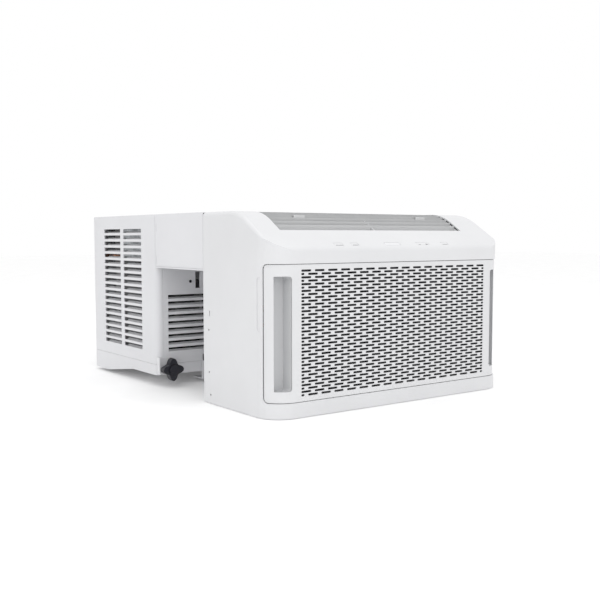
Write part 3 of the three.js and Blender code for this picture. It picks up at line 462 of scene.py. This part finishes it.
def grille_panel():
    """The tilting panel: one sheet, perforated flat and then bent round both front corners."""
    low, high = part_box("front_panel")
    flat_half = high.x - PANEL_CORNER_R
    reach = math.acos(1 - (high.y - low.y) / PANEL_CORNER_R)
    half = flat_half + PANEL_CORNER_R * reach

    def unrolled(x):
        return flat_half + PANEL_CORNER_R * math.asin((x - flat_half) / PANEL_CORNER_R)

    inner, outer = (unrolled(x) for x in POCKET_X)
    pockets = [
        (inner, outer, *POCKET_Z, POCKET_INNER_R, POCKET_OUTER_R),
        (-outer, -inner, *POCKET_Z, POCKET_OUTER_R, POCKET_INNER_R),
    ]
    outline = (-half, half, low.z, high.z, PANEL_OUTLINE_R)
    bm = perforated_sheet(outline, slot_shapes() + pockets, PANEL_THICKNESS, PANEL_CHAMFER)
    for _, side in SIDES:
        for k in range(BEND_STEPS + 1):
            u = side * (flat_half + PANEL_CORNER_R * reach * k / BEND_STEPS)
            geometry = bm.verts[:] + bm.edges[:] + bm.faces[:]
            bmesh.ops.bisect_plane(
                bm, geom=geometry, dist=1e-7, plane_co=(u, 0, 0), plane_no=(1, 0, 0))

    def bent(u, v, depth):
        turn = max(0.0, abs(u) - flat_half) / PANEL_CORNER_R
        radius = PANEL_CORNER_R - depth
        x = min(abs(u), flat_half) + radius * math.sin(turn)
        y = low.y + PANEL_CORNER_R - radius * math.cos(turn)
        return Vector((math.copysign(x, u), y, v))

    map_points(bm, bent)
    add_piece(bm, "grille_panel", "tilt_panel", "white_plastic", ["front_panel", "panel_grille"])


def filter_screen():
    """The air filter: a ribbed frame with woven mesh stretched behind it."""
    low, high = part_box("air_filter")
    columns, rows, rib = 6, 3, 5 * MM
    frame_depth, cloth_depth, cloth_thick = 3 * MM, 3.2 * MM, 0.6 * MM
    pitch_x = (high.x - low.x - rib) / columns
    pitch_z = (high.z - low.z - rib) / rows
    windows = []
    for column in range(columns):
        for row in range(rows):
            u = low.x + rib + column * pitch_x
            v = low.z + rib + row * pitch_z
            windows.append((u, u + pitch_x - rib, v, v + pitch_z - rib, 3 * MM))
    outline = (low.x, high.x, low.z, high.z, 4 * MM)
    bm = perforated_sheet(outline, windows, frame_depth, 0.3 * MM)
    map_points(bm, lambda u, v, depth: Vector((u, low.y + depth, v)))
    add_piece(bm, "filter_frame", "tilt_panel", "black_plastic", ["air_filter"])
    inside = (low.x + rib, high.x - rib, low.z + rib, high.z - rib, 2 * MM)
    cloth = perforated_sheet(inside, [], cloth_thick, 0.1 * MM)
    map_points(cloth, lambda u, v, depth: Vector((u, low.y + cloth_depth + depth, v)))
    add_piece(cloth, "filter_cloth", "tilt_panel", "filter_plastic")


# ---------------------------------------------------------------- room section: control marks
SLOPE_ANGLE = math.radians(32)
SLOPE_TOP_Z = 106 * MM
CONTROL_Y = -307 * MM
CONTROL_RUN = 92 * MM  # from the slope's top edge forward to the controls
CONTROL_LINE = Vector((0, CONTROL_Y, SLOPE_TOP_Z - CONTROL_RUN * math.tan(SLOPE_ANGLE)))
MARK_LOW, MARK_HIGH = -3.3 * MM, -2.5 * MM
MARK_THICK = 0.25 * MM
STROKE_THICK = 0.22 * MM
MARK_CHAMFER = 0.05 * MM
MARK_LIFT = 0.12 * MM
MARK_RADIUS = 0.4 * MM


def on_slope(x, along, lift):
    """A point on the control slope: along runs uphill from the controls' line."""
    up = Vector((0, math.cos(SLOPE_ANGLE), math.sin(SLOPE_ANGLE)))
    out = Vector((0, -math.sin(SLOPE_ANGLE), math.cos(SLOPE_ANGLE)))
    return CONTROL_LINE + Vector((x, 0, 0)) + up * along + out * lift


def control_marks():
    """Plain inlaid bars near the lower edge of each button and of the rocker."""

    def lay(u, v, depth):
        return on_slope(u, v, MARK_LIFT - depth)

    for name in ("button_power", "button_timer", "button_mode"):
        low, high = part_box(name)
        bar = (low.x + 1.5 * MM, high.x - 1.5 * MM, MARK_LOW, MARK_HIGH, MARK_RADIUS)
        bm = perforated_sheet(bar, [], MARK_THICK, MARK_CHAMFER)
        map_points(bm, lay)
        add_piece(bm, f"mark_{name}", name, "black_plastic")
    low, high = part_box("temperature_rocker")
    middle = (low.x + high.x) / 2
    bm = bmesh.new()
    for x in (middle - 9 * MM, middle + 9 * MM):
        bar = (x - 3 * MM, x + 3 * MM, MARK_LOW, MARK_HIGH, MARK_RADIUS)
        merge_into(bm, perforated_sheet(bar, [], MARK_THICK, MARK_CHAMFER))
    stroke = (
        middle + 8.5 * MM, middle + 9.5 * MM,
        MARK_LOW - 0.5 * MM, MARK_HIGH + 3 * MM, MARK_RADIUS)
    merge_into(bm, perforated_sheet(stroke, [], STROKE_THICK, MARK_CHAMFER))
    map_points(bm, lay)
    add_piece(bm, "mark_temperature", "temperature_rocker", "black_plastic")


# ---------------------------------------------------------------- coils
FIN_PITCH = 2.0 * MM
FIN_HALF = 0.12 * MM
END_PLATE = 3 * MM
TUBE_INSET = 9 * MM
TUBE_RADIUS, BEND_RADIUS = 3.5 * MM, 3.4 * MM
TUBE_SIDES = 10
BEND_REACH = 9 * MM
BEND_RINGS = 8


def add_bend(bm, start, end):
    """A U-bend of tube from start to end, standing out along +X."""
    centre = (start + end) / 2
    span = (end - start).length / 2
    upward = (end - start).normalized()
    across = Vector((0, 1, 0))
    loops = []
    for k in range(BEND_RINGS + 1):
        a = math.pi * k / BEND_RINGS
        along = upward * -math.cos(a) + Vector((math.sin(a) * BEND_REACH / span, 0, 0))
        middle = centre + along * span
        outward = Vector((math.cos(a) * BEND_REACH / span, 0, 0))
        normal = (upward * math.sin(a) + outward).normalized().cross(across)
        loop = []
        for s in range(TUBE_SIDES):
            b = 2 * math.pi * s / TUBE_SIDES
            loop.append(middle + (across * math.cos(b) + normal * math.sin(b)) * BEND_RADIUS)
        loops.append(loop)
    loft(bm, loops)


def coil(name, node, x_range, y_range, z_range, tube_rows):
    """A finned coil: thin plates on tubes, end plates and return bends."""
    x0, x1 = x_range
    y0, y1 = y_range
    z0, z1 = z_range
    fins = bmesh.new()
    count = int((x1 - x0) / FIN_PITCH)
    for k in range(count):
        x = x0 + (k + 0.5) * (x1 - x0) / count
        add_block(fins, (x - FIN_HALF, y0, z0), (x + FIN_HALF, y1, z1))
    for x in (x0 - END_PLATE, x1):
        add_block(
            fins, (x, y0 - 1 * MM, z0 - 3 * MM), (x + END_PLATE, y1 + 1 * MM, z1 + 3 * MM))
    add_piece(fins, f"{name}_fins", ROOT, "coil_aluminium", [node])
    tubes = bmesh.new()
    pitch = (z1 - z0) / tube_rows
    for row in range(tube_rows):
        z = z0 + (row + 0.5) * pitch
        for y in (y0 + TUBE_INSET, y1 - TUBE_INSET):
            add_rod(
                tubes, TUBE_RADIUS, x1 - x0 + 2 * END_PLATE, TUBE_SIDES,
                ((x0 + x1) / 2, y, z))
        if row % 2 == 0 and row + 1 < tube_rows:
            for y in (y0 + TUBE_INSET, y1 - TUBE_INSET):
                start = Vector((x1 + END_PLATE, y, z))
                add_bend(tubes, start, start + Vector((0, 0, pitch)))
    add_piece(tubes, f"{name}_tubes", ROOT, "copper_tube")


def coils():
    coil(
        "evaporator", "evaporator_coil",
        (-226 * MM, 200 * MM), (-283 * MM, -247 * MM), (-190 * MM, 6 * MM), 9)
    coil(
        "condenser", "condenser_coil",
        (-246 * MM, 246 * MM), (364 * MM, 396 * MM), (-196 * MM, 86 * MM), 13)


# ---------------------------------------------------------------- air path
BLOWER_AXIS = (-185 * MM, -20 * MM)
RIM_RADIUS = 51.5 * MM
SHAFT_RADIUS = 4 * MM
DISCS, DISC_THICK = 6, 2 * MM
VANES, VANE_DEPTH, VANE_STEPS = 36, 11 * MM, 4
VANE_INSET = 0.4 * MM
VANE_SWEEP, VANE_THICK = 0.16, 0.022  # radians round the axis


def impeller():
    """The cross-flow blower: discs with many curved vanes round the rim."""
    low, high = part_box("blower_wheel")
    axis_y, axis_z = BLOWER_AXIS
    x0, x1 = low.x + 9 * MM, high.x - 15 * MM
    bm = bmesh.new()
    for k in range(DISCS):
        x = x0 + 1.5 * MM + (x1 - x0 - 3 * MM) * k / (DISCS - 1)
        add_rod(bm, RIM_RADIUS, DISC_THICK, 48, (x, *BLOWER_AXIS))
    add_rod(bm, SHAFT_RADIUS, high.x - low.x, 16, ((low.x + high.x) / 2, *BLOWER_AXIS))
    for k in range(VANES):
        base = 2 * math.pi * k / VANES
        rows = []
        for step in range(VANE_STEPS + 1):
            part = step / VANE_STEPS
            radius = RIM_RADIUS - VANE_DEPTH * part - VANE_INSET
            rows.append((radius, base + VANE_SWEEP * math.sin(math.pi * part / 2)))
        loop = []
        for offset, ordered in ((0.0, rows), (VANE_THICK, rows[::-1])):
            loop += [(r * math.cos(a + offset), r * math.sin(a + offset)) for r, a in ordered]
        loft(bm, [[(x, axis_y + p, axis_z + q) for p, q in loop] for x in (x0, x1)])
    add_piece(bm, "impeller", "blower_wheel", "black_plastic", ["blower_wheel"])


# ---------------------------------------------------------------- outdoor section
LOUVRE_PITCH = 13.35 * MM
LOUVRE_HEIGHT = 8 * MM
LOUVRE_TOP_Z = 74 * MM
SIDE_ROWS = 19
FRONT_ROWS = 9
SIDE_COLUMNS = ((159.2 * MM, 245.8 * MM), (260.5 * MM, 344.6 * MM))
FRONT_COLUMNS = (
    (-253 * MM, -132 * MM), (-122 * MM, -6 * MM), (6 * MM, 122 * MM), (132 * MM, 253 * MM))
FLAP_CREST = -LOUVRE_HEIGHT * 0.12  # from the louvre's middle
FLAP_THICK = 0.9 * MM
FLAP_END_GAP = 3 * MM
FLAP_START = 3.5 * MM  # set in from the wall's inner face
FLAP_REACH = 8.2 * MM  # stays clear of the pipe beside the wall
SHEET = 1.6 * MM
CLEARANCE = 0.3 * MM  # between added sheet pieces and the CAD nodes


def louvre_flap(bm, start, end, z, place):
    """A flap that rises inwards from a louvre's lower edge; place maps (along, inward, z)."""
    foot = -LOUVRE_HEIGHT / 2
    loop = [
        (FLAP_START, foot), (FLAP_REACH, FLAP_CREST),
        (FLAP_REACH, FLAP_CREST - FLAP_THICK), (FLAP_START, foot - FLAP_THICK)]
    loft(bm, [
        [place(along, SHEET + inward, z + rise) for inward, rise in loop]
        for along in (start, end)])


def bridge_flanges():
    """Inturned ends of the bridge's side walls, closing them against the outdoor section."""
    low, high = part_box("bridge_cover")
    reach, thick, foot_z = 14 * MM, 1.2 * MM, 6 * MM
    for name, side in SIDES:
        wall = (high.x if side > 0 else low.x) - side * (SHEET + CLEARANCE)
        x0, x1 = sorted((wall, wall - side * reach))
        shape = (x0, x1, foot_z, high.z - SHEET - CLEARANCE, 1 * MM)
        bm = perforated_sheet(shape, [], thick, 0.3 * MM)
        map_points(bm, lambda u, v, depth: Vector((u, high.y - CLEARANCE - depth, v)))
        add_piece(bm, f"bridge_flange_{name}", ROOT, "white_sheet")


def louvres():
    """The flaps behind the openings of the outdoor section's sides and front wall."""
    low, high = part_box("outdoor_cabinet")

    def from_front(along, inward, z):
        return Vector((along, low.y + inward, z))

    for name, side in SIDES:
        wall = high.x if side > 0 else low.x

        def from_side(along, inward, z):
            return Vector((wall - side * inward, along, z))

        bm = bmesh.new()
        for row in range(SIDE_ROWS):
            z = LOUVRE_TOP_Z - row * LOUVRE_PITCH
            for y0, y1 in SIDE_COLUMNS:
                louvre_flap(bm, y0, y1 - FLAP_END_GAP, z, from_side)
        add_piece(bm, f"louvres_{name}", ROOT, "white_sheet")
    bm = bmesh.new()
    for row in range(SIDE_ROWS - FRONT_ROWS, SIDE_ROWS):
        z = LOUVRE_TOP_Z - row * LOUVRE_PITCH
        for x0, x1 in FRONT_COLUMNS:
            louvre_flap(bm, x0 + FLAP_END_GAP, x1 - FLAP_END_GAP, z, from_front)
    add_piece(bm, "louvres_front", ROOT, "white_sheet")


def rear_guard():
    """The stamped guard over the condenser."""
    low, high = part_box("rear_grille")
    columns, rows, bar, border = 30, 11, 4 * MM, 6 * MM
    hole_radius, corner_radius, thick, chamfer = 3 * MM, 4 * MM, 1.5 * MM, 0.25 * MM
    pitch_x = (high.x - low.x - 2 * border + bar) / columns
    pitch_z = (high.z - low.z - 2 * border + bar) / rows
    holes = []
    for column in range(columns):
        for row in range(rows):
            u = low.x + border + column * pitch_x
            v = low.z + border + row * pitch_z
            holes.append((u, u + pitch_x - bar, v, v + pitch_z - bar, hole_radius))
    outline = (low.x, high.x, low.z, high.z, corner_radius)
    bm = perforated_sheet(outline, holes, thick, chamfer)
    map_points(bm, lambda u, v, depth: Vector((u, high.y - depth, v)))
    add_piece(bm, "rear_guard", ROOT, "white_sheet", ["rear_grille"])


# ---------------------------------------------------------------- screws
SCREW_RADIUS = 3.2 * MM
SCREW_SIDES = 20
CASING_SCREW_SCALE = 0.58
TWIST_STEP = 23  # degrees from one screw's recess to the next


def screw_mesh(radius):
    """A pan head with a cross recess, its rim on z = 0 and its crown towards +Z."""
    head = bmesh.new()
    loops = []
    for share, height in ((1.0, 0.0), (1.0, 0.25), (0.86, 0.48), (0.5, 0.62)):
        turns = [2 * math.pi * s / SCREW_SIDES for s in range(SCREW_SIDES)]
        loops.append([
            (radius * share * math.cos(a), radius * share * math.sin(a), radius * height)
            for a in turns])
    loft(head, loops)
    bmesh.ops.recalc_face_normals(head, faces=head.faces)
    cross = bmesh.new()
    arm, width = radius * 0.55, radius * 0.11
    add_block(cross, (-arm, -width, radius * 0.25), (arm, width, radius))
    add_block(cross, (-width, -arm, radius * 0.2), (width, arm, radius * 1.1))
    parts = []
    for name, bm in (("screw_head", head), ("screw_cross", cross)):
        mesh = bpy.data.meshes.new(name)
        bm.to_mesh(mesh)
        bm.free()
        part = bpy.data.objects.new(name, mesh)
        bpy.context.scene.collection.objects.link(part)
        parts.append(part)
    modifier = parts[0].modifiers.new("recess", "BOOLEAN")
    modifier.object = parts[1]
    modifier.use_self = True
    bpy.context.view_layer.update()
    evaluated = parts[0].evaluated_get(bpy.context.evaluated_depsgraph_get())
    result = bpy.data.meshes.new_from_object(evaluated)
    for part in parts:
        bpy.data.objects.remove(part)
    return result


SCREW = screw_mesh(SCREW_RADIUS)


def add_screws(name, places, slot, scale=1.0, twist_step=TWIST_STEP):
    """Screws at (point, outward direction) pairs, joined in one piece on the root body."""
    bm = bmesh.new()
    for k, (point, outward) in enumerate(places):
        part = bmesh.new()
        part.from_mesh(SCREW)
        twist = Matrix.Rotation(math.radians(twist_step * k), 4, "Z")
        turn = Vector(outward).to_track_quat("Z", "Y").to_matrix().to_4x4()
        part.transform(Matrix.Translation(point) @ turn @ twist @ Matrix.Scale(scale, 4))
        merge_into(bm, part)
    add_piece(bm, name, ROOT, slot)


def screws():
    """Screws of the outdoor wall and the rear guard, and smaller ones in the casing's holes."""
    cabinet_low, cabinet_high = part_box("outdoor_cabinet")
    wall_x, wall_z = 201.7 * MM, -29.4 * MM
    front_places = []
    for _, side in SIDES:
        front_places.append((Vector((side * wall_x, cabinet_low.y, wall_z)), (0, -1, 0)))
    add_screws("screws_wall", front_places, "black_enamel")
    rear_places = []
    rear_y = cabinet_high.y - 2.1 * MM
    edge_x, edge_z = 3 * MM, 40 * MM
    guard_low, guard_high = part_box("rear_grille")
    for x in (guard_low.x + edge_x, guard_high.x - edge_x):
        for z in (guard_low.z + edge_z, guard_high.z - edge_z):
            rear_places.append((Vector((x, rear_y, z)), (0, 1, 0)))
    add_screws("screws_rear", rear_places, "galvanised_steel")
    seat_x = 278.1 * MM
    case_places = []
    for _, side in SIDES:
        for y, z in ((-114, -106), (-114, -183), (-119, -224)):
            case_places.append((Vector((side * seat_x, y * MM, z * MM)), (side, 0, 0)))
    add_screws(
        "screws_casing", case_places, "black_plastic", CASING_SCREW_SCALE, twist_step=0)


def wall_latches():
    """Small black clips on the front faces of the stand legs."""
    leg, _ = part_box("stand_leg_left")
    centre_x, centre_z = 173 * MM, -188 * MM
    half_width, half_height, thick = 3.5 * MM, 7 * MM, 2.5 * MM
    bm = bmesh.new()
    for _, side in SIDES:
        x = side * centre_x
        shape = (
            x - half_width, x + half_width,
            centre_z - half_height, centre_z + half_height, 2 * MM)
        merge_into(bm, perforated_sheet(shape, [], thick, 0.4 * MM))
    map_points(bm, lambda u, v, depth: Vector((u, leg.y - CLEARANCE - thick + depth, v)))
    add_piece(bm, "wall_latches", ROOT, "black_plastic")


# ---------------------------------------------------------------- stage
WHITE = (1.0, 1.0, 1.0, 1.0)
FLOOR_SIZE = 12.0
FLOOR_GLOW = 0.06
FLOOR_GAP = 0.5 * MM
LIGHTS = (  # name, place, size in metres, power in watts
    ("top_light", (-0.4, -0.6, 2.2), 2.4, 16.0),
    ("front_light", (-1.2, -2.2, 1.0), 1.6, 7.0),
)
# The camera, as fitted to the photo.
CAMERA_PLACE = (-1.0546, -1.4562, 0.0613)
CAMERA_ANGLES = (36.094, 4.215, -0.0625)  # yaw, pitch down and roll, in degrees
CAMERA_LENS, CAMERA_SENSOR = 51.45, 36.0


def stage():
    """A pale floor, soft studio light and a camera low in front of the left corner."""
    scene = bpy.context.scene
    scene.view_settings.view_transform = "Standard"
    bm = bmesh.new()
    bmesh.ops.create_grid(bm, x_segments=2, y_segments=2, size=FLOOR_SIZE)
    mesh = bpy.data.meshes.new("floor")
    bm.to_mesh(mesh)
    bm.free()
    pale = finish("floor_pale", (0.92, 0.92, 0.92), 0.85, 40.0, 0.00001)
    glow = pale.node_tree.nodes["Principled BSDF"].inputs
    glow["Emission Color"].default_value = WHITE
    glow["Emission Strength"].default_value = FLOOR_GLOW
    mesh.materials.append(pale)
    floor = bpy.data.objects.new("floor", mesh)
    scene.collection.objects.link(floor)
    floor.location.z = cad_low.z - FLOOR_GAP

    world = bpy.data.worlds.new("studio")
    world.use_nodes = True
    sky = world.node_tree.nodes["Background"].inputs
    sky["Color"].default_value = WHITE
    sky["Strength"].default_value = 1.0
    scene.world = world

    for name, place, size, power in LIGHTS:
        light = bpy.data.lights.new(name, "AREA")
        light.size = size
        light.energy = power
        lamp = bpy.data.objects.new(name, light)
        lamp.location = place
        lamp.rotation_euler = (-Vector(place)).to_track_quat("-Z", "Y").to_euler()
        scene.collection.objects.link(lamp)

    data = bpy.data.cameras.new("camera")
    data.sensor_width = CAMERA_SENSOR
    data.lens = CAMERA_LENS
    data.clip_start = 0.05
    camera = bpy.data.objects.new("camera", data)
    camera.location = CAMERA_PLACE
    yaw, pitch, roll = (math.radians(degrees) for degrees in CAMERA_ANGLES)
    turn = Matrix.Rotation(-yaw, 3, "Z") @ Matrix.Rotation(math.pi / 2 - pitch, 3, "X")
    camera.rotation_euler = (turn @ Matrix.Rotation(roll, 3, "Z")).to_euler()
    scene.collection.objects.link(camera)
    scene.camera = camera


finish_cad_nodes()
grille_panel()
filter_screen()
control_marks()
coils()
impeller()
bridge_flanges()
louvres()
rear_guard()
screws()
wall_latches()
stage()

bpy.context.view_layer.update()
